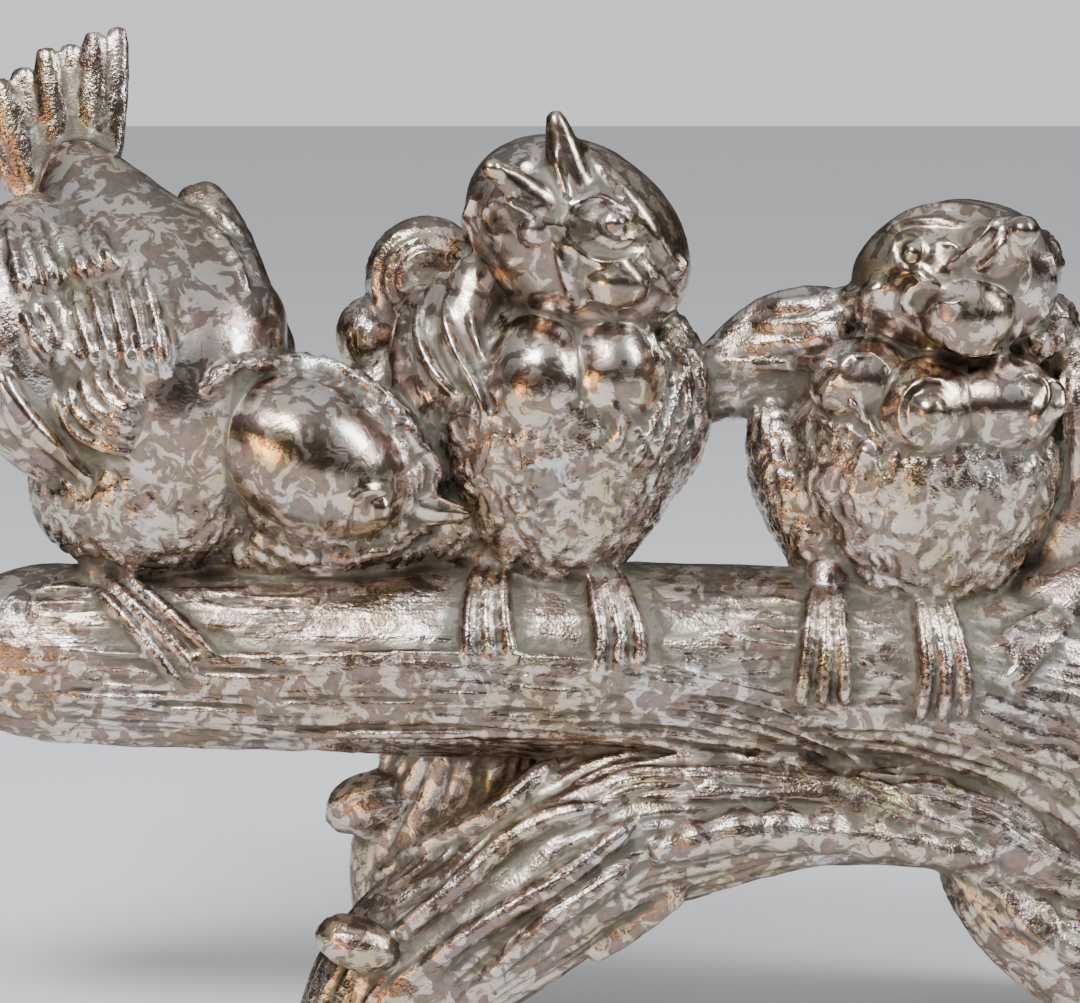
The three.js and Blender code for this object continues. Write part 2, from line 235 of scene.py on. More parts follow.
def ball(skin, point, radius, kind=SMOOTH, sink=0.0):
    """A ball set into the skin where the viewer sees an elevation point."""
    place, normal = skin.touch(point)
    form = egg((0, 0, 0), (radius,) * 3, kind, around=20, steps=16, snug=1.0)
    form.verts = form.verts - drawn([(0, 0, 0, 1)])[0, :3] + place - normal * sink
    return form


def rings_along(pitch, depth):
    """Rings on a toe: its girth swells every pitch millimetres."""
    return lambda t, arc: 1 + depth * np.cos(2 * np.pi * arc / pitch)


# ---------------------------------------------------------------- the birds


def feathered_tail(roots, tips, bulge, petals, half_width):
    """A fan of broad feathers that overlap like petals. Roots and tips (x, y, z) are the fan's two edges."""
    forms = []
    for i in range(petals):
        share = i / (petals - 1)
        root, tip = between(*roots, share), between(*tips, share)
        tip[2] += bulge * math.sin(math.pi * share) * (1 if i % 2 else 0.55)
        middle = between(root, tip, 0.55)
        lift = 0.9 * (i % 2)
        stations = [
            (root[0], root[1] - lift, root[2], half_width * 0.75, 1.6),
            (middle[0], middle[1] - lift, middle[2], half_width, 1.7),
            (tip[0], tip[1] - lift, tip[2], half_width * 0.9, 1.4),
        ]
        forms.append(limb(drawn(stations), WING, around=20, steps=30, blunt=0.3, snug=1.0))
    return forms


def upright_back(skin, middle, shoulder, rump):
    """The back of an upright bird: two folded wings and a short tail."""
    waist = (shoulder + rump) / 2
    forms = []
    for hand in (-1, 1):
        inner = [[middle + hand * 3, shoulder], [middle + hand * 5, waist], [middle + hand * 4, rump]]
        outer = [[middle + hand * 15, shoulder - 4], [middle + hand * 19, waist], [middle + hand * 11, rump - 2]]
        forms += row(skin, 5, inner, outer, 1.9, 2.4, eye=BEHIND)
        top = [[middle + hand * 4, shoulder + 5], [middle + hand * 9, shoulder + 1], [middle + hand * 13, shoulder - 8]]
        forms.append(strip(skin, top, 2.6, 2.2, DOWN, eye=BEHIND))
    roots = [(middle - 8, 12, rump), (middle + 8, 12, rump)]
    tips = [(middle - 12.5, 39, rump - 6), (middle + 12.5, 39, rump - 6)]
    return forms + feathered_tail(roots, tips, 0, 5, 3.4)


def bowing_bird():
    """The bird on the left, seen from its back as it bows towards the front and the right."""
    body = limb(
        drawn(
            [
                (-94, 20, 181, 9, 6),
                (-89, 15, 169, 15, 12),
                (-82, 6, 151, 26, 20),
                (-75, -1, 134, 29.5, 23),
                (-65, -5, 122, 26, 22),
                (-54, -7, 116, 18, 16),
            ]
        ),
        SMOOTH,
        blunt=0.55,
    )
    near_wing = limb(
        drawn(
            [
                (-97, 8, 170, 8, 7),
                (-104, -1, 156, 14, 13),
                (-104, -7, 139, 16, 14),
                (-98, -9, 124, 12, 11),
                (-91, -8, 112, 6, 6),
            ]
        ),
        WING,
        blunt=0.5,
    )
    far_wing = limb(
        drawn([(-68, 20, 173, 6, 5), (-65, 17, 162, 8, 8), (-58.5, 10, 148, 7, 10), (-51.5, 4, 137, 6, 9)]), WING
    )
    belly = egg((-78, -1, 113), (25, 20, 19), DOWN)
    seat = egg((-44, 2, 102), (30, 14, 9), DOWN)
    ruff = egg((-44, -5, 118), (26.5, 18, 20), DOWN, turn=0.5)
    cap = egg((-45.5, -12, 118.5), (22, 15.5, 15.5), SMOOTH, turn=0.52, around=56, steps=44)
    base = [body, near_wing, far_wing, belly, seat, ruff, cap]
    skin = Skin(base)
    beak = drawn([(-30, -10, 111, 5.5, 5), (-21, -12, 108, 3.4, 3.4), (-13.5, -13, 107, 1.5, 1.5)])
    carving = [
        *feathered_tail([(-101, 20, 168), (-86, 19, 168)], [(-112, 24, 190), (-83, 26, 204)], 3, 7, 3.1),
        *row(skin, 7, px((14, 216), (20, 262), (30, 300)), px((97, 222), (108, 246), (120, 270)), [1.2, 1.9], [1.4, 3.0]),
        *row(skin, 8, px((25, 306), (36, 336), (53, 364)), px((146, 268), (160, 322), (168, 374)), [1.2, 1.9], [1.4, 3.0]),
        *row(skin, 5, px((56, 392), (76, 430), (134, 455)), px((109, 369), (126, 390), (143, 402)), [1.2, 1.6], [1.6, 2.8]),
        strip(skin, px((2, 366), (15, 396), (50, 440), (92, 480)), 2.4, 3.6, SMOOTH, samples=11, steps=36),
        strip(skin, px((4, 392), (20, 428), (60, 476)), 1.6, 2.0, WING),
        strip(skin, px((196, 206), (228, 246), (252, 290)), 1.5, 1.4, WING),
        strip(skin, px((214, 204), (244, 242), (262, 280)), 1.5, 1.4, WING),
        strip(skin, px((205, 392), (236, 366), (312, 362), (366, 387), (398, 418), (430, 466), (430, 504)), 1.7, 2.4, DOWN,
              samples=15, steps=60, blunt=0.3),
        strip(skin, px((232, 526), (272, 546), (316, 558), (387, 547), (424, 526)), 1.7, 2.2, DOWN, samples=13, steps=50),
        limb(beak, SMOOTH, around=24),
        strip(skin, px((398, 536), (428, 528), (446, 522)), 1.2, 1.6, SMOOTH),
        ball(skin, px((380, 509))[0], 2.9, sink=0.6),
        hoop(skin, px((378, 508))[0], 3.7, 0.75, turn=0.4, start=20, end=330),
        strip(skin, px((346, 528), (350, 502), (366, 490), (388, 492)), 0.8, 1.1, SMOOTH),
        strip(skin, px((318, 486), (326, 512), (324, 540)), 0.7, 0.8, SMOOTH),
    ]
    return base, carving


def calling_bird():
    """The middle bird, which faces the front and calls upwards with one wing half open behind it."""
    body = limb(
        drawn(
            [
                (6, -6, 93, 15, 12),
                (5, -3, 105, 22, 17),
                (4.5, 0, 120, 27, 22),
                (4.5, 3, 134, 27, 22),
                (7, 4, 146, 20, 18),
                (9, 3, 156, 15, 15),
            ]
        ),
        DOWN,
        blunt=0.5,
    )
    head = egg((7.5, -2, 162.5), (25, 20, 18.7), SMOOTH, turn=0.62, around=56, steps=44)
    breast = [
        egg((0, -9, 133), (12, 13.5, 15), SMOOTH, around=48),
        egg((14, -8, 135), (11, 13, 14), SMOOTH, around=48),
    ]
    hip = egg((-19, 3, 106), (11, 13, 10), DOWN)
    open_wing = [
        egg((-22.5, 14, 154), (13, 8, 13.5), WING),
        egg((-33.5, 14, 143), (7.5, 7, 8.5), WING),
        egg((-28, 10, 132), (11, 8, 9), DOWN),
    ]
    along = [(-11, 1, 158, 8), (-15, -5, 143, 5.5), (-11, -9, 133, 5.5), (-6, -10, 123, 4.5)]
    arm = [
        limb(drawn([(x - 5 * fold, y + 3 * fold, z - 3 * fold, thick) for x, y, z, thick in along]), SMOOTH)
        for fold in range(3)
    ]
    folded_wing = limb(
        drawn([(25, 0, 147, 5, 9), (28.5, 4, 134, 6, 13), (26.5, 6, 120, 6, 12), (19, 6, 108, 5, 9)]), DOWN
    )
    base = [body, head, *breast, hip, *open_wing, *arm, folded_wing]
    skin = Skin(base)
    upper_beak = limb(
        drawn([(9, -13, 164, 7.5, 6), (5.6, -14, 176, 4.6, 4.6), (2.6, -15, 187.5, 2.4, 2.4)]), SMOOTH, around=24
    )
    lower_beak = limb(drawn([(4, -17, 166, 4.2, 3.6), (-4, -19, 172, 3.6, 3.2), (-9.6, -21, 177.4, 2.4, 2.4)]), SMOOTH)
    mouth = limb(drawn([(6, -13, 164, 4.5, 2.5), (0, -13, 172, 5, 2), (-4, -13.5, 177.5, 3.4, 1.5)]), SMOOTH)
    cheek = egg((15.5, -19, 153.5), (6.8, 5, 5.2), SMOOTH, turn=0.15)
    faces = Skin([*base, upper_beak, lower_beak, mouth, cheek])
    carving = [
        upper_beak,
        lower_beak,
        mouth,
        cheek,
        ball(faces, px((492, 170))[0], 2.3, sink=0.4),
        ball(faces, px((534, 229))[0], 3.5, sink=0.8),
        ball(faces, px((616, 224))[0], 2.1, sink=0.2),
        hoop(faces, px((614, 226))[0], 3.9, 0.7, squash=0.75, turn=0.3),
        hoop(faces, px((498, 219))[0], 2.7, 0.8, start=30, end=300, squash=1.3),
        strip(faces, px((570, 208), (590, 198), (612, 204), (632, 220)), 0.8, 1.2, SMOOTH),
        strip(faces, px((503, 196), (530, 211), (564, 229)), 0.9, 1.6, SMOOTH),
        strip(faces, px((481, 190), (471, 212), (468, 234), (477, 262), (492, 292)), 0.9, 1.8, SMOOTH, steps=36),
        strip(faces, px((556, 244), (563, 270), (575, 300)), 0.7, 1.4, SMOOTH),
        strip(faces, px((568, 243), (590, 260), (618, 264), (642, 254)), 1.0, 1.4, SMOOTH),
        strip(faces, px((555, 150), (562, 176), (570, 200)), 1.2, 1.3, SMOOTH),
        strip(faces, px((577, 142), (604, 170), (640, 212), (672, 262)), [1.6, 3.2], 1.3, SMOOTH, steps=40),
        strip(faces, px((586, 152), (596, 166), (606, 180)), 1.1, 1.6, SMOOTH),
        strip(faces, px((640, 262), (660, 282), (676, 300)), 1.3, 1.5, DOWN),
        ball(faces, px((678, 268))[0], 2.8, DOWN, sink=1.0),
        ball(faces, px((668, 306))[0], 2.4, DOWN, sink=0.8),
        hoop(faces, px((596, 312))[0], 4.6, 0.9, start=20, end=200, squash=0.6),
        *[hoop(skin, px((430, 280))[0], r, 0.95, WING, start=a, end=b) for r, a, b in ((5.6, 60, 260), (8.4, 80, 240), (11.0, 95, 225))],
        *[hoop(skin, px((386, 338))[0], r, 0.85, WING, start=115, end=230) for r in (3.4, 5.4, 7.2)],
        strip(skin, px((424, 300), (420, 330), (432, 366), (457, 396)), 1.4, 1.8, SMOOTH),
        strip(skin, px((446, 300), (450, 330), (463, 362), (480, 392), (486, 420)), 1.2, 1.8, SMOOTH),
        strip(skin, px((470, 310), (474, 335), (484, 362)), 1.0, 1.5, SMOOTH),
        strip(skin, px((410, 352), (420, 384), (438, 412)), 1.0, 1.2, SMOOTH),
        hoop(skin, px((466, 428))[0], 3.2, 0.9, start=40, end=300),
        hoop(skin, px((540, 476))[0], 3.4, 0.8, DOWN, start=60, end=290),
        hoop(skin, px((528, 500))[0], 3.0, 0.7, DOWN, start=150, end=380),
        ball(skin, px((622, 420))[0], 2.2, sink=0.9),
        strip(skin, px((612, 400), (620, 425), (616, 450)), 1.2, 1.5, SMOOTH),
        ball(skin, px((676, 384))[0], 2.9, sink=1.0),
        *row(skin, 4, px((646, 322), (660, 390), (632, 470)), px((690, 340), (700, 400), (674, 470)), 1.1, 1.6, DOWN),
        *upright_back(skin, 5, 146, 112),
    ]
    return base, carving


def watching_bird():
    """The bird on the right, which looks up over its shoulder and reaches its open wing to the middle bird."""
    body = limb(
        drawn(
            [
                (77, -6, 85, 15, 12),
                (77, -3, 97, 22, 17),
                (77, 0, 111, 28, 22),
                (77, 3, 125, 28, 22),
                (79, 4, 137, 22, 18),
                (83, 3, 147, 17, 15),
            ]
        ),
        DOWN,
        blunt=0.5,
    )
    head = egg((82.5, -2, 154), (21.4, 17, 16.5), SMOOTH, turn=-0.12, around=56, steps=44)
    open_wing = limb(
        drawn([(27, 5, 131, 8, 7), (36, 7, 134, 9, 6), (45, 8, 138, 12, 6.5), (54, 7, 141, 13, 8), (64, 4, 140, 13, 10)]),
        WING,
        blunt=0.3,
    )
    flank = limb(drawn([(45, 5, 130, 6, 6), (50, 4, 116, 9, 10), (56, 1, 102, 8, 10), (61, 0, 94, 7, 8)]), DOWN)
    far_wing = limb(drawn([(102, 4, 146, 6, 10), (108, 6, 132, 10, 14), (110, 8, 117, 11, 14), (101, 6, 92, 12, 13)]), WING)
    breast = [
        egg((64, -8, 134), (11, 10, 9), SMOOTH, around=48),
        egg((77, -12, 128), (11, 11, 11), SMOOTH, around=48),
        egg((91, -9, 129), (13, 12, 11), SMOOTH, around=48),
    ]
    cheek = egg((99, 0, 157), (5, 6, 7.5), DOWN)
    collar = egg((99, 2, 144), (9, 8, 9), DOWN)
    throat = egg((85, -16, 147), (9.5, 7, 8), SMOOTH)
    base = [body, head, open_wing, flank, far_wing, *breast, cheek, collar, throat]
    beak = limb(drawn([(86, -12, 157, 8.5, 8), (93, -16, 162, 5.5, 5), (98.5, -18, 165.5, 2.8, 2.8)]), SMOOTH)
    skin = Skin([*base, beak])
    carving = [
        beak,
        ball(skin, px((1019, 231))[0], 3.2, sink=0.6),
        strip(skin, px((1003, 226), (1016, 223), (1027, 229)), 1.5, 1.6, SMOOTH),
        strip(skin, px((1016, 246), (1022, 270), (1018, 296)), 1.1, 1.6, SMOOTH),
        strip(skin, px((996, 217), (984, 234), (968, 250), (950, 264)), 1.0, 1.7, SMOOTH),
        strip(skin, px((1000, 238), (990, 256), (974, 270)), 0.9, 1.4, SMOOTH),
        ball(skin, px((909, 251))[0], 2.1, sink=0.4),
        hoop(skin, px((908, 252))[0], 3.6, 0.8, start=-30, end=260),
        strip(skin, px((882, 240), (900, 226), (930, 222), (966, 226)), 1.0, 1.3, SMOOTH),
        strip(skin, px((880, 236), (902, 216), (940, 208), (990, 212)), 1.3, 1.2, SMOOTH, steps=36),
        strip(skin, px((936, 240), (956, 250), (944, 268)), 0.8, 1.0, SMOOTH),
        strip(skin, px((912, 268), (924, 280), (940, 286)), 0.9, 1.2, SMOOTH),
        hoop(skin, px((918, 300))[0], 3.0, 0.8, start=60, end=320),
        strip(skin, px((930, 300), (950, 304), (962, 296)), 0.8, 0.9, SMOOTH),
        strip(skin, px((938, 338), (966, 350), (1000, 344), (1018, 326)), 1.1, 1.3, SMOOTH),
        *[ball(skin, px(p)[0], r, DOWN, sink=0.4 * r) for p, r in (((1048, 262), 1.9), ((1050, 284), 1.6), ((1040, 312), 1.9), ((1060, 318), 2.0), ((1036, 338), 1.7), ((1056, 344), 2.0))],
        *row(skin, 4, px((852, 300), (806, 304), (768, 306)), px((836, 360), (780, 362), (724, 362)), [1.6, 2.1], 1.6),
        *row(skin, 3, px((858, 290), (834, 296), (812, 302)), px((850, 330), (822, 336), (800, 340)), [1.6, 2.4], 1.8),
        strip(skin, px((876, 284), (862, 306), (866, 332)), 2.0, 1.8, WING),
        hoop(skin, px((932, 412))[0], 6.6, 1.0, start=70, end=250),
        ball(skin, px((928, 412))[0], 4.2, sink=2.4),
        hoop(skin, px((862, 372))[0], 4.4, 0.9, start=10, end=200, squash=0.8),
        hoop(skin, px((836, 396))[0], 2.6, 0.8, DOWN, start=60, end=330),
        ball(skin, px((865, 452))[0], 2.3, sink=0.6),
        strip(skin, px((872, 456), (884, 478), (892, 500)), 0.8, 1.2, DOWN),
        strip(skin, px((846, 398), (862, 414), (880, 440)), 0.9, 1.3, DOWN),
        strip(skin, px((1022, 372), (1040, 388), (1036, 412), (1028, 440)), 1.6, 2.4, SMOOTH),
        strip(skin, px((1042, 378), (1056, 392), (1054, 420)), 1.2, 1.8, SMOOTH),
        hoop(skin, px((812, 446))[0], 5.4, 0.9, DOWN, start=20, end=260),
        *row(skin, 4, px((1058, 372), (1068, 420), (1064, 500)), px((1088, 380), (1098, 430), (1094, 500)), 1.2, 2.0),
        *upright_back(skin, 77, 134, 103),
    ]
    return base, carving


def toes_on(skin, line):
    """Three ringed toes that grip the perch along a line on the elevation, and the shank above them."""
    line = np.array(line, float)
    run = unit(line[-1] - line[0])
    aside = np.array([-run[1], run[0]])
    forms = []
    for out in (-1, 0, 1):
        spread = np.linspace(0.6, 1.1, len(line))[:, None] * out * 4.2 * aside
        swell = rings_along(1.85, 0.13)
        forms.append(strip(skin, line + spread, 1.65, 2.7, TOE, samples=9, steps=90, around=20, blunt=0.3, swell=swell))
    x, z = line[0]
    y = skin.touch(line[0])[0][1]
    shank = drawn([(x, y + 9, z + 9, 4), (x, y + 3, z + 2, 4.6), (x, y + 1, z - 3, 3)])
    return [*forms, limb(shank, TOE, swell=rings_along(1.85, 0.05))]


# ---------------------------------------------------------------- the branch


def bare_branch():
    """The long perch, the arched limb under it, a rear root, and the trunk's end on the right."""
    perch = limb(
        drawn(
            [
                (-126, 2, 78, 12, 12),
                (-112, 1, 79, 17, 17),
                (-98, 0, 79, 19.5, 19),
                (-58, 0, 78.5, 20, 20),
                (-18, 0, 78, 20.5, 21),
                (32, 0, 77, 20.5, 21),
                (72, 0, 75, 21, 22),
                (100, 2, 68, 25, 24),
                (124, 3, 50, 27, 26),
                (138, 3, 26, 25, 27),
                (142, 3, -8, 26, 28),
            ]
        ),
        BARK,
        around=64,
        steps=110,
        blunt=0.25,
    )
    arch = limb(
        drawn(
            [
                (116, -2, 30, 17, 17),
                (86, -4, 46, 14.5, 16),
                (57, -5, 48, 13.5, 16),
                (32, -6, 46, 17, 17),
                (12, -7, 41, 20, 18),
                (-7, -8, 27.5, 20, 19),
                (-28, -9, 11, 20, 20),
                (-38, -9, -12, 21, 21),
            ]
        ),
        BARK,
        around=64,
        steps=90,
        blunt=0.3,
    )
    toe = limb(drawn([(84, -4, 38, 7, 10), (96, -6, 25, 10, 12), (116, -6, 15, 15, 18), (146, -2, 2, 18, 24)]), BARK, blunt=0.25)
    root = limb(
        drawn([(-8, 6, 66, 20, 9), (-17, 8, 50, 19, 9), (-26, 11, 34, 13, 10), (-24, 18, 14, 11, 12), (-22, 26, -8, 13, 14)]),
        BARK,
        blunt=0.3,
    )
    side = limb(drawn([(82, 2, 66, 15, 15), (102, 4, 84, 15, 16), (120, 8, 96, 12, 13), (133, 10, 103, 9, 10)]), BARK, blunt=0.22)
    stump = limb(drawn([(-26, 5, 50, 8, 6), (-37, 6, 47, 7, 5), (-42.5, 7, 44, 3.5, 3)]), BARK)
    return [perch, arch, toe, root, side, stump]


def bark_cords(skin):
    """The raised fibres, the ropes of the old root and the knotty vine that follow the grain."""
    ropes = [
        px((600, 812), (525, 838), (448, 905), (384, 955)),
        px((640, 826), (566, 884), (484, 935), (415, 984)),
        px((634, 872), (555, 925), (478, 994)),
        px((690, 893), (630, 936), (586, 968)),
        px((556, 765), (504, 815), (440, 850), (372, 886)),
    ]
    vine = px((650, 862), (703, 845), (765, 835), (841, 840), (918, 851), (1000, 866))
    rng = np.random.default_rng(11)
    forms = [strip(skin, rope, 2.6, 3.4, CORD, samples=13, steps=60, ends=0.5) for rope in ropes]
    forms.append(strip(skin, vine, 4.4, 4.6, CORD, samples=15, steps=80, around=24, swell=rings_along(9.0, 0.12)))
    bundles = [
        (9, px((0, 648), (150, 652), (300, 655), (460, 652), (620, 662), (780, 690), (960, 770)),
         px((30, 728), (150, 730), (300, 738), (460, 742), (620, 745), (780, 770), (900, 830)), 1.0, 1.5),
        (5, px((640, 760), (760, 762), (880, 790), (1000, 840)), px((620, 812), (740, 806), (860, 815), (980, 850)), 0.9, 1.4),
        (6, px((985, 655), (1020, 625), (1060, 600)), px((1010, 700), (1050, 660), (1080, 625)), 0.9, 1.4),
        (7, px((700, 780), (860, 800), (1040, 900), (1075, 960)), px((940, 860), (1000, 900), (1040, 950), (1070, 980)), 1.0, 1.4),
        (6, px((0, 590), (160, 588), (320, 592)), px((0, 630), (160, 628), (320, 632)), 0.8, 0.7),
        (4, px((690, 590), (800, 600), (900, 625)), px((680, 640), (790, 655), (880, 680)), 0.8, 0.8),
    ]
    for count, first, last, wide, high in bundles:
        for i in range(count):
            line = np.array(between(first, last, (i + 0.5) / count))
            start, end = rng.uniform(0, 0.22), rng.uniform(0.78, 1)
            line = curve(line, np.linspace(start, end, 9))
            line[:, 1] += rng.normal(0, 0.35, 9)
            size = rng.uniform(0.75, 1.2)
            forms.append(strip(skin, line, wide * size, high * size, CORD, samples=15, steps=60, ends=0.4))
    knob = egg((-37, -25, 19), (9, 7, 5.5), CORD, turn=0.3)
    bead = ball(skin, px((560, 925))[0], 2.6, CORD, sink=0.4)
    return [*forms, knob, bead]


def rear_grain(skin):
    """Long raised fibres on the back of the perch and of the arched limb."""
    rng = np.random.default_rng(23)
    forms = []
    for first, last, count in (
        ([[-112, 88], [-40, 90], [40, 88], [88, 81]], [[-106, 66], [-40, 65], [40, 62], [84, 56]], 12),
        ([[112, 60], [124, 40], [134, 16]], [[138, 66], [150, 44], [158, 16]], 5),
    ):
        for i in range(count):
            line = curve(np.array(between(first, last, i / (count - 1))), np.linspace(rng.uniform(0, 0.3), rng.uniform(0.7, 1), 7))
            line[:, 1] += rng.normal(0, 0.4, 7)
            forms.append(strip(skin, line, 1.1, 1.3, CORD, eye=BEHIND, samples=11, steps=44, ends=0.4))
    return forms


def all_forms():
    """Every form of the casting, with what lies below the ground flattened onto it."""
    wood = bare_branch()
    wood_skin = Skin(wood)
    feet = [
        px((100, 580), (135, 610), (165, 640), (197, 676)),
        px((490, 570), (487, 600), (487, 636), (492, 668)),
        px((600, 570), (610, 600), (620, 640), (618, 682)),
        px((828, 590), (826, 626), (826, 664), (824, 712)),
        px((930, 596), (940, 634), (948, 680), (944, 724)),
    ]
    forms = [*wood, *bark_cords(wood_skin), *rear_grain(wood_skin)]
    for line in feet:
        forms += toes_on(wood_skin, line)
    for bird in (bowing_bird, calling_bird, watching_bird):
        base, carving = bird()
        forms += [*base, *carving]
    for form in forms:
        form.verts = form.verts.copy()
        form.verts[:, 2] = np.maximum(form.verts[:, 2], 0)
    return forms


# ---------------------------------------------------------------- relief


def noise(p, seed):
    """Smooth gradient noise from about -1 to 1 at the places p."""
    cell = np.floor(p).astype(np.int64)
    inside = p - cell
    fade = inside**3 * (inside * (inside * 6 - 15) + 10)
    total = np.zeros(len(p))
    for corner in range(8):
        step = np.array([corner >> 2 & 1, corner >> 1 & 1, corner & 1])
        at = cell + step
        h = (at[:, 0] * 73856093) ^ (at[:, 1] * 19349663) ^ (at[:, 2] * 83492791) ^ (seed * 2654435761)
        h = (h ^ (h >> 13)) * 1274126177 & 0xFFFFFFFF
        h = (h ^ (h >> 15)) * 2246822519 & 0xFFFFFFFF
        slope = np.stack([(h >> s & 1023) / 511.5 - 1 for s in (2, 12, 22)], axis=-1)
        weight = np.prod(np.where(step == 1, fade, 1 - fade), axis=1)
        total += weight * np.sum(slope * (inside - step), axis=1)
    return total * 1.2


def layered(p, octaves, seed):
    return sum(noise(p * 2.0**k, seed + k) / 2.0**k for k in range(octaves))


def crests(p, seed):
    """Rounded crests from 0 to 1 with narrow grooves between them."""
    return np.clip(1 - np.exp(-np.abs(noise(p, seed)) * 7), 0, 1)


def relief(place, grain, kind, strength):
    """How far, in millimetres, the carving lifts each point of the surface."""
    height = np.zeros(len(place))
    for carving in (SMOOTH, DOWN, WING, BARK, TOE, CORD):
        on = kind == carving
        p, g = place[on], grain[on]
        if carving == SMOOTH:
            lift = 0.30 * noise(p / 9, 1) + 0.10 * noise(p / 3.5, 2)
        elif carving == DOWN:
            bent = p + 1.6 * np.stack([noise(p / 4.5, 3), noise(p / 4.5, 4), noise(p / 4.5, 5)], axis=-1)
            lift = 0.95 * (crests(bent / [2.1, 2.1, 4.4], 6) - 0.7) + 0.5 * noise(p / 6, 7)
        elif carving == WING:
            lift = 0.22 * noise(p / 3, 8) + 0.3 * (crests(g / [9, 1.5, 1.5], 9) - 0.7)
        elif carving == BARK:
            bent = g + np.stack([np.zeros(len(g)), noise(g / 16, 10), noise(g / 16, 11)], axis=-1) * 2.2
            ridged = np.clip((88 - p[:, 2]) / 14, 0.25, 1)
            lift = ridged * (1.0 * (crests(bent / [46, 3.4, 3.4], 12) - 0.7) + 0.5 * (crests(bent / [24, 1.5, 1.5], 13) - 0.7))
            lift += 0.35 * noise(p / 7, 14)
        elif carving == CORD:
            lift = 0.4 * (crests(g / [22, 1.6, 1.6], 15) - 0.7) + 0.3 * noise(p / 3.2, 16)
        else:
            lift = np.zeros(len(p))
        height[on] = lift
    return height * strength


def spread(values, edges, times, share=0.5):
    """Each vertex's values moved share of the way to its neighbours' mean, so many times."""
    a, b = edges[:, 0], edges[:, 1]
    count = len(values)
    near = np.bincount(a, minlength=count) + np.bincount(b, minlength=count)
    near = np.maximum(near, 1)[:, None]
    for _ in range(times):
        total = np.empty_like(values)
        for axis in range(values.shape[1]):
            total[:, axis] = np.bincount(a, values[b, axis], count) + np.bincount(b, values[a, axis], count)
        values = values + share * (total / near - values)
    return values


# ---------------------------------------------------------------- meshes


def put_mesh(name, verts, faces):
    """A mesh object of triangles or quads, given in metres."""
    mesh = bpy.data.meshes.new(name)
    sides = faces.shape[1]
    mesh.vertices.add(len(verts))
    mesh.vertices.foreach_set("co", np.ascontiguousarray(verts, np.float32).ravel())
    mesh.loops.add(faces.size)
    mesh.loops.foreach_set("vertex_index", np.ascontiguousarray(faces, np.int32).ravel())
    mesh.polygons.add(len(faces))
    mesh.polygons.foreach_set("loop_start", np.arange(0, faces.size, sides, dtype=np.int32))
    mesh.update(calc_edges=True)
    body = bpy.data.objects.new(name, mesh)
    bpy.context.scene.collection.objects.link(body)
    return body


def read_mesh(mesh):
    """A mesh's vertices in millimetres, its edges and its vertex normals."""
    co = np.empty(len(mesh.vertices) * 3, np.float32)
    mesh.vertices.foreach_get("co", co)
    edges = np.empty(len(mesh.edges) * 2, np.int32)
    mesh.edges.foreach_get("vertices", edges)
    normals = np.empty(len(mesh.vertices) * 3, np.float32)
    mesh.vertex_normals.foreach_get("vector", normals)
    return co.reshape(-1, 3).astype(float) / MM, edges.reshape(-1, 2), normals.reshape(-1, 3).astype(float)


def apply_modifiers(body):
    """Swaps an object's mesh for the one its modifiers make."""
    graph = bpy.context.evaluated_depsgraph_get()
    old = body.data
    made = bpy.data.meshes.new_from_object(body.evaluated_get(graph))
    body.modifiers.clear()
    body.data = made
    bpy.data.meshes.remove(old)


def place_on_forms(forms, places):
    """For each place, the grain and the kind of the form whose surface is nearest."""
    verts, faces, owners = joined(forms)
    tree = BVHTree.FromPolygons(verts, faces)
    hits = [tree.find_nearest(p) for p in places.tolist()]
    on = np.array([hit[2] for hit in hits])
    spot = np.array([tuple(hit[0]) for hit in hits])
    corners = np.array(faces)[on]
    tri = np.array(verts)[corners]
    grain = np.vstack([form.grain for form in forms])[corners]
    a, b, c = tri[:, 0], tri[:, 1] - tri[:, 0], tri[:, 2] - tri[:, 0]
    d = spot - a
    bb, bc, cc = (b * b).sum(1), (b * c).sum(1), (c * c).sum(1)
    db, dc = (d * b).sum(1), (d * c).sum(1)
    scale = np.maximum(bb * cc - bc * bc, 1e-12)
    u = np.clip((cc * db - bc * dc) / scale, 0, 1)[:, None]
    v = np.clip((bb * dc - bc * db) / scale, 0, 1)[:, None]
    where = grain[:, 0] * (1 - u - v) + grain[:, 1] * u + grain[:, 2] * v
    return where, np.array([form.kind for form in forms])[owners[on]]


def cast_figure(voxel, triangles, strength):
    """Casts all forms in one piece, carves the relief into it and thins its mesh to the triangles asked for."""
    forms = all_forms()
    verts, faces, _ = joined(forms)
    verts = (np.array(verts) - FOOTPRINT_MIDDLE) * MM
    body = put_mesh("birds_on_branch_casting", verts, np.array(faces))
    remesh = body.modifiers.new("one_piece", "REMESH")
    remesh.mode = "VOXEL"
    remesh.voxel_size = voxel * MM
    apply_modifiers(body)
    place, edges, normals = read_mesh(body.data)
    place = spread(place, edges, 2)
    where, kind = place_on_forms(forms, place + FOOTPRINT_MIDDLE)
    lift = relief(place + FOOTPRINT_MIDDLE, where, kind, strength)
    lift = spread(lift[:, None], edges, 1)
    carved = place + normals * lift
    carved[:, 2] = np.where(place[:, 2] < 0.6, np.minimum(np.maximum(carved[:, 2], 0), place[:, 2]), np.maximum(carved[:, 2], 0))
    body.data.vertices.foreach_set("co", (carved * MM).astype(np.float32).ravel())
    body.data.update()
    thin = body.modifiers.new("thin", "DECIMATE")
    faces_now = sum(len(p.vertices) - 2 for p in body.data.polygons[:1]) * len(body.data.polygons)
    thin.ratio = min(1.0, triangles / faces_now)
    thin.use_collapse_triangulate = True
    apply_modifiers(body)
    return body, forms


# ---------------------------------------------------------------- finishes


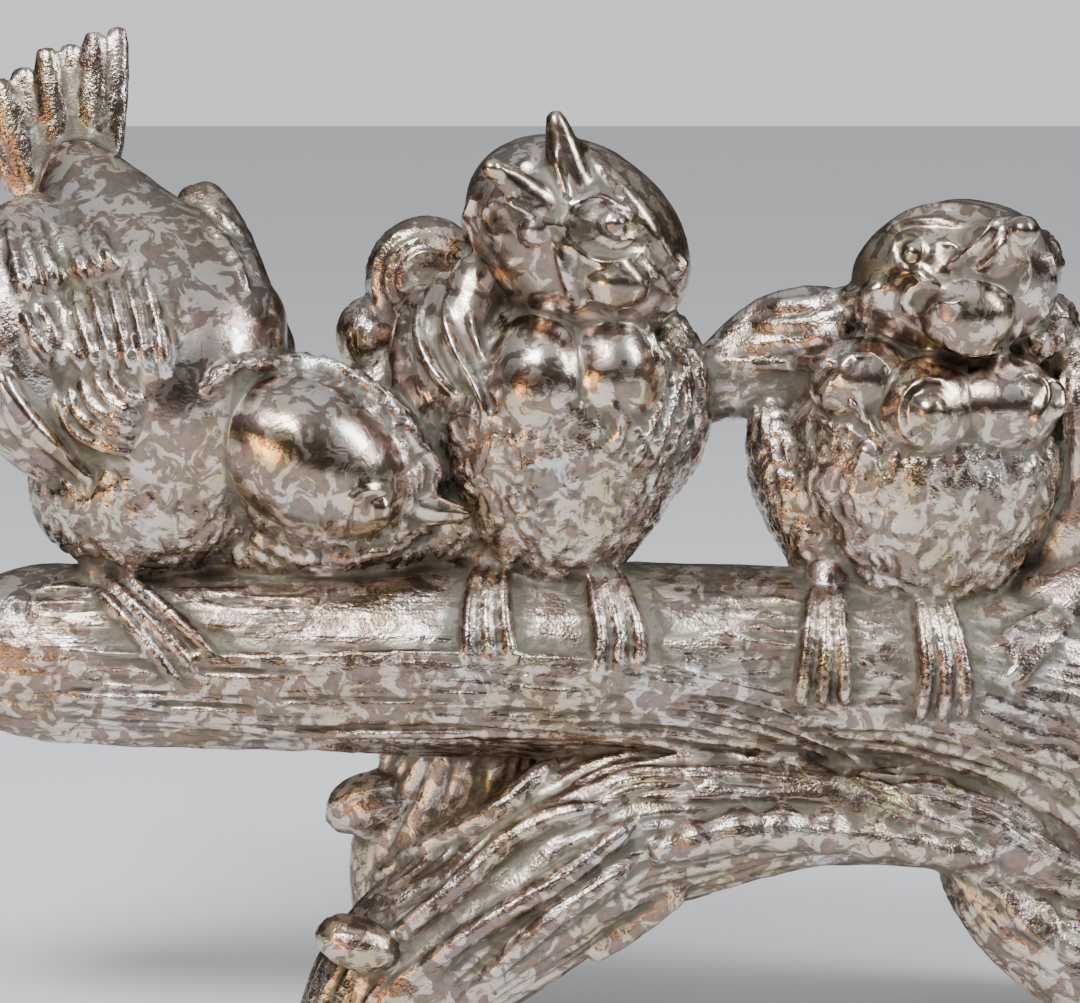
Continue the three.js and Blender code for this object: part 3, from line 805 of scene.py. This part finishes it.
class Shader:
    """Adds nodes to a material's or a world's tree and links them."""

    def __init__(self, owner):
        owner.use_nodes = True
        self.tree = owner.node_tree
        self.tree.nodes.clear()

    def add(self, kind, inputs=None, **settings):
        """A node of a kind. Inputs are its sockets, by name or number, and take a value or another node's output."""
        made = self.tree.nodes.new("ShaderNode" + kind)
        for name, value in settings.items():
            setattr(made, name, value)
        for name, value in (inputs or {}).items():
            if isinstance(value, bpy.types.NodeSocket):
                self.tree.links.new(value, made.inputs[name])
            else:
                made.inputs[name].default_value = value
        return made

    def attribute(self, name):
        return self.add("Attribute", attribute_name=name)

    def mapped(self, vector, scale):
        """Coordinates in millimetres stretched by scale."""
        return self.add("Mapping", {"Vector": vector, "Scale": scale}).outputs[0]

    def noise(self, vector, scale, detail=2.0, rough=0.5, bend=0.0):
        settings = {"Vector": vector, "Scale": scale, "Detail": detail, "Roughness": rough, "Distortion": bend}
        return self.add("TexNoise", settings).outputs[0]

    def steps(self, value, stops, hard=False):
        """A ramp through (place, grey or colour) stops."""
        ramp = self.add("ValToRGB", {0: value})
        ramp.color_ramp.interpolation = "CONSTANT" if hard else "LINEAR"
        marks = ramp.color_ramp.elements
        while len(marks) < len(stops):
            marks.new(0.5)
        for mark, (place, colour) in zip(marks, stops):
            mark.position = place
            mark.color = (*colour[:3], 1) if hasattr(colour, "__len__") else (colour, colour, colour, 1)
        return ramp.outputs[0]

    def math(self, operation, a, b=None, c=None):
        inputs = {k: v for k, v in enumerate((a, b, c)) if v is not None}
        return self.add("Math", inputs, operation=operation).outputs[0]

    def mix(self, share, a, b):
        """Colour a, going over to b where share is 1."""
        return self.add("Mix", {0: share, 6: a, 7: b}, data_type="RGBA").outputs[2]


def antique_plating(look):
    """Bright plating over a dark casting: patchy on the smooth parts, dull in the hollows, streaked on the bark."""
    material = bpy.data.materials.new("antique_plating")
    s = Shader(material)
    place = s.mapped(s.add("TexCoord").outputs["Object"], (1 / MM,) * 3)
    grain = s.attribute("grain").outputs["Vector"]
    masks = s.attribute("carving").outputs["Color"]
    masks = s.add("SeparateColor", {0: masks}).outputs
    smooth, bark, down = masks[0], masks[1], masks[2]
    hollow = s.attribute("hollow").outputs["Fac"]

    patches = s.noise(place, 0.16, detail=4, rough=0.55, bend=0.6)
    warmth = s.noise(place, 0.045, detail=2)
    specks = s.noise(place, 0.75, detail=3)
    fibres = s.noise(s.mapped(grain, (0.05, 0.8, 0.8)), 1.0, detail=4, rough=0.6)

    metal = s.mix(s.steps(warmth, [(0.38, 0), (0.62, 1)]), (*look.gold, 1), (*look.silver, 1))
    metal = s.mix(s.steps(patches, [(0.50, 0), (0.56, 1)]), metal, (*look.rose, 1))
    dark = s.mix(s.steps(specks, [(0.45, 0), (0.6, 1)]), (*look.brown, 1), (*look.violet, 1))
    worn = s.steps(s.noise(place, 0.22, detail=5, rough=0.6, bend=0.9), [(0.47, 0), (0.51, 1)])
    metal = s.mix(s.math("MULTIPLY", worn, 0.75), metal, dark)
    dull = s.math("MULTIPLY", s.steps(hollow, [(0.52, 0), (0.72, 1)]), look.dullness, None)
    colour = s.mix(dull, metal, (*look.recess, 1))

    gloss = s.math("MULTIPLY_ADD", patches, 0.22, look.roughness - 0.06)
    rough = s.math("MULTIPLY_ADD", dull, 0.38, gloss)
    fine = s.math("MULTIPLY", s.noise(place, 1.6, detail=3), s.math("SUBTRACT", 1.0, s.math("MULTIPLY", smooth, 0.85)))
    relief_height = s.math("MULTIPLY_ADD", fibres, bark, fine)
    broad = s.add("Bump", {"Strength": 0.35, "Distance": 0.5 * MM, "Height": relief_height})
    skin = s.add("Bump", {"Strength": 0.12, "Distance": 0.4 * MM, "Height": specks, "Normal": broad.outputs[0]})
    shader = s.add(
        "BsdfPrincipled",
        {
            "Base Color": colour,
            "Metallic": s.math("MULTIPLY_ADD", dull, -0.55, 1.0),
            "Roughness": rough,
            "Normal": skin.outputs[0],
        },
    )
    s.add("OutputMaterial", {"Surface": shader.outputs[0]})
    return material


def write_attributes(body, forms):
    """Stores each vertex's grain, its carving's masks and how deep it lies in a hollow."""
    place, edges, _ = read_mesh(body.data)
    where, kind = place_on_forms(forms, place + FOOTPRINT_MIDDLE)
    masks = np.stack([kind == SMOOTH, (kind == BARK) | (kind == CORD), kind == DOWN, np.ones(len(kind))], axis=-1).astype(float)
    masks = spread(masks, edges, 2)
    around = spread(place, edges, 12, 0.6)
    _, _, normals = read_mesh(body.data)
    depth = np.sum((around - place) * normals, axis=1)
    hollow = np.clip(0.5 + depth / 1.6, 0, 1)
    for name, form, values in (("grain", "FLOAT_VECTOR", where), ("carving", "FLOAT_COLOR", masks), ("hollow", "FLOAT", hollow)):
        layer = body.data.attributes.new(name, form, "POINT")
        layer.data.foreach_set({"FLOAT": "value", "FLOAT_VECTOR": "vector", "FLOAT_COLOR": "color"}[form], values.astype(np.float32).ravel())


# ---------------------------------------------------------------- studio


def studio_floor(colour):
    """A plain pale floor."""
    edge = 4.0
    verts = np.array([[-edge, -edge, 0], [edge, -edge, 0], [edge, edge, 0], [-edge, edge, 0]])
    floor = put_mesh("studio_floor", verts, np.array([[0, 1, 2, 3]]))
    material = bpy.data.materials.new("pale_floor")
    s = Shader(material)
    place = s.add("TexCoord").outputs["Object"]
    mottle = s.noise(place, 30, detail=4)
    shader = s.add(
        "BsdfPrincipled",
        {
            "Base Color": (*colour, 1),
            "Roughness": s.math("MULTIPLY_ADD", mottle, 0.1, 0.8),
            "Normal": s.add("Bump", {"Strength": 0.05, "Distance": MM, "Height": mottle}).outputs[0],
        },
    )
    s.add("OutputMaterial", {"Surface": shader.outputs[0]})
    floor.data.materials.append(material)
    return floor


def soft_light(name, place, width, height, watts, colour):
    """A soft box that faces the figurine's middle."""
    lamp = bpy.data.lights.new(name, "AREA")
    lamp.shape = "RECTANGLE"
    lamp.size, lamp.size_y = width, height
    lamp.energy = watts
    lamp.color = colour
    body = bpy.data.objects.new(name, lamp)
    bpy.context.scene.collection.objects.link(body)
    place = np.array(place)
    body.location = place
    body.rotation_euler = (Vector((0, 0, 0.1)) - Vector(place)).to_track_quat("-Z", "Y").to_euler()
    return body


def room(look):
    """The room that the plating mirrors: pale above, brown and dark around."""
    world = bpy.data.worlds.new("room")
    bpy.context.scene.world = world
    s = Shader(world)
    height = s.add("SeparateXYZ", {0: s.add("TexCoord").outputs["Generated"]}).outputs[2]
    mirrored = s.steps(
        s.math("MULTIPLY_ADD", height, 0.5, 0.5),
        [(0.0, (0.25, 0.22, 0.2)), (0.45, (0.05, 0.035, 0.025)), (0.62, (0.10, 0.085, 0.07)), (0.85, (0.5, 0.52, 0.56)), (1.0, (0.9, 0.95, 1.0))],
    )
    seen = s.add("LightPath").outputs["Is Camera Ray"]
    far = s.add("Background", {"Color": s.mix(seen, mirrored, (0.93, 0.93, 0.93, 1)), "Strength": look.room})
    s.add("OutputWorld", {"Surface": far.outputs[0]})


def place_camera():
    """Puts the camera where the photograph was taken from."""
    camera = bpy.data.cameras.new("viewer")
    body = bpy.data.objects.new("viewer", camera)
    bpy.context.scene.collection.objects.link(body)
    eye = (VIEWER - FOOTPRINT_MIDDLE) * MM
    aim = (np.array([0, 0, (GROUND_PIXEL - PHOTO_SIZE[1] / 2) / PIXELS_PER_MM]) - FOOTPRINT_MIDDLE) * MM
    body.location = eye
    body.rotation_euler = Vector(aim - eye).to_track_quat("-Z", "Y").to_euler()
    camera.sensor_width = 36
    camera.lens = 36 * np.linalg.norm(aim - eye) / (PHOTO_SIZE[0] / PIXELS_PER_MM * MM)
    camera.clip_start, camera.clip_end = 0.01, 20
    bpy.context.scene.camera = body


# ---------------------------------------------------------------- add-on


class CastingSettings(bpy.types.PropertyGroup):
    """Sizes and colours of the casting."""

    detail: bpy.props.FloatProperty(
        name="Finest detail", description="Size of the smallest detail that is carved, in millimetres", default=0.55, min=0.3, max=3
    )
    triangles: bpy.props.IntProperty(
        name="Triangles", description="How many triangles the casting may have", default=190000, min=20000, max=198000
    )
    relief: bpy.props.FloatProperty(
        name="Relief", description="How deeply the down, the feathers and the bark are carved", default=1.0, min=0, max=2, subtype="FACTOR"
    )
    silver: bpy.props.FloatVectorProperty(
        name="Silver", description="Colour of the brightest plating", default=(0.62, 0.58, 0.54), min=0, max=1, subtype="COLOR"
    )
    gold: bpy.props.FloatVectorProperty(
        name="Old gold", description="Colour of the warm plating", default=(0.50, 0.42, 0.27), min=0, max=1, subtype="COLOR"
    )
    rose: bpy.props.FloatVectorProperty(
        name="Rose", description="Colour of the pinkish patches", default=(0.62, 0.50, 0.44), min=0, max=1, subtype="COLOR"
    )
    brown: bpy.props.FloatVectorProperty(
        name="Brown", description="Colour of the worn patches", default=(0.16, 0.09, 0.055), min=0, max=1, subtype="COLOR"
    )
    violet: bpy.props.FloatVectorProperty(
        name="Violet black", description="Colour of the darkest tarnish", default=(0.07, 0.045, 0.055), min=0, max=1, subtype="COLOR"
    )
    recess: bpy.props.FloatVectorProperty(
        name="Hollows", description="Colour of the dull hollows", default=(0.10, 0.095, 0.07), min=0, max=1, subtype="COLOR"
    )
    dullness: bpy.props.FloatProperty(
        name="Dullness", description="How dull the hollows are", default=0.85, min=0, max=1, subtype="FACTOR"
    )
    roughness: bpy.props.FloatProperty(
        name="Roughness", description="Roughness of the bright plating", default=0.18, min=0, max=1, subtype="FACTOR"
    )


class StudioSettings(bpy.types.PropertyGroup):
    """Floor, lights and room."""

    floor: bpy.props.FloatVectorProperty(
        name="Floor", description="Colour of the floor", default=(0.9, 0.9, 0.9), min=0, max=1, subtype="COLOR"
    )
    key: bpy.props.FloatProperty(name="Key light", description="Power of the key light", default=14, min=0, unit="POWER")
    rim: bpy.props.FloatProperty(name="Rim light", description="Power of the light on the right", default=8, min=0, unit="POWER")
    warm: bpy.props.FloatProperty(name="Warm light", description="Power of the low warm light", default=2.5, min=0, unit="POWER")
    room: bpy.props.FloatProperty(name="Room", description="Brightness of the room", default=1.0, min=0, max=5)


class FIGURINE_OT_casting(bpy.types.Operator):
    """Casts the three birds and their branch in one piece and plates it"""

    bl_idname = "figurine.casting"
    bl_label = "Birds on Branch"

    def execute(self, context):
        look = context.scene.figurine_casting
        body, forms = cast_figure(look.detail, look.triangles, look.relief)
        write_attributes(body, forms)
        body.data.shade_smooth()
        body.data.materials.append(antique_plating(look))
        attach(body, "root")
        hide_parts("birds_on_branch")
        return {"FINISHED"}


class FIGURINE_OT_studio(bpy.types.Operator):
    """Adds the floor, the lights, the room and the camera"""

    bl_idname = "figurine.studio"
    bl_label = "Studio"

    def execute(self, context):
        look = context.scene.figurine_studio
        studio_floor(look.floor)
        soft_light("key_light", (-0.35, -0.7, 0.95), 0.5, 0.35, look.key, (0.93, 0.96, 1.0))
        soft_light("rim_light", (0.8, -0.3, 0.7), 0.25, 0.6, look.rim, (0.9, 0.95, 1.0))
        soft_light("warm_light", (-0.7, -0.8, 0.12), 0.3, 0.15, look.warm, (1.0, 0.55, 0.2))
        room(look)
        place_camera()
        return {"FINISHED"}


class FIGURINE_PT_panel(bpy.types.Panel):
    """Lists the figurine's settings and operators"""

    bl_idname = "FIGURINE_PT_panel"
    bl_label = "Birds on Branch"
    bl_space_type = "VIEW_3D"
    bl_region_type = "UI"
    bl_category = "Figurine"

    def draw(self, context):
        for group, operator in (("figurine_casting", FIGURINE_OT_casting), ("figurine_studio", FIGURINE_OT_studio)):
            settings = getattr(context.scene, group)
            box = self.layout.box()
            for name in settings.__annotations__:
                box.prop(settings, name)
            box.operator(operator.bl_idname)


CLASSES = (CastingSettings, StudioSettings, FIGURINE_OT_casting, FIGURINE_OT_studio, FIGURINE_PT_panel)


def register():
    for cls in CLASSES:
        bpy.utils.register_class(cls)
    bpy.types.Scene.figurine_casting = bpy.props.PointerProperty(type=CastingSettings)
    bpy.types.Scene.figurine_studio = bpy.props.PointerProperty(type=StudioSettings)


def unregister():
    del bpy.types.Scene.figurine_studio
    del bpy.types.Scene.figurine_casting
    for cls in reversed(CLASSES):
        bpy.utils.unregister_class(cls)


def main():
    register()
    bpy.ops.figurine.casting()
    bpy.ops.figurine.studio()


if __name__ == "__main__":
    main()
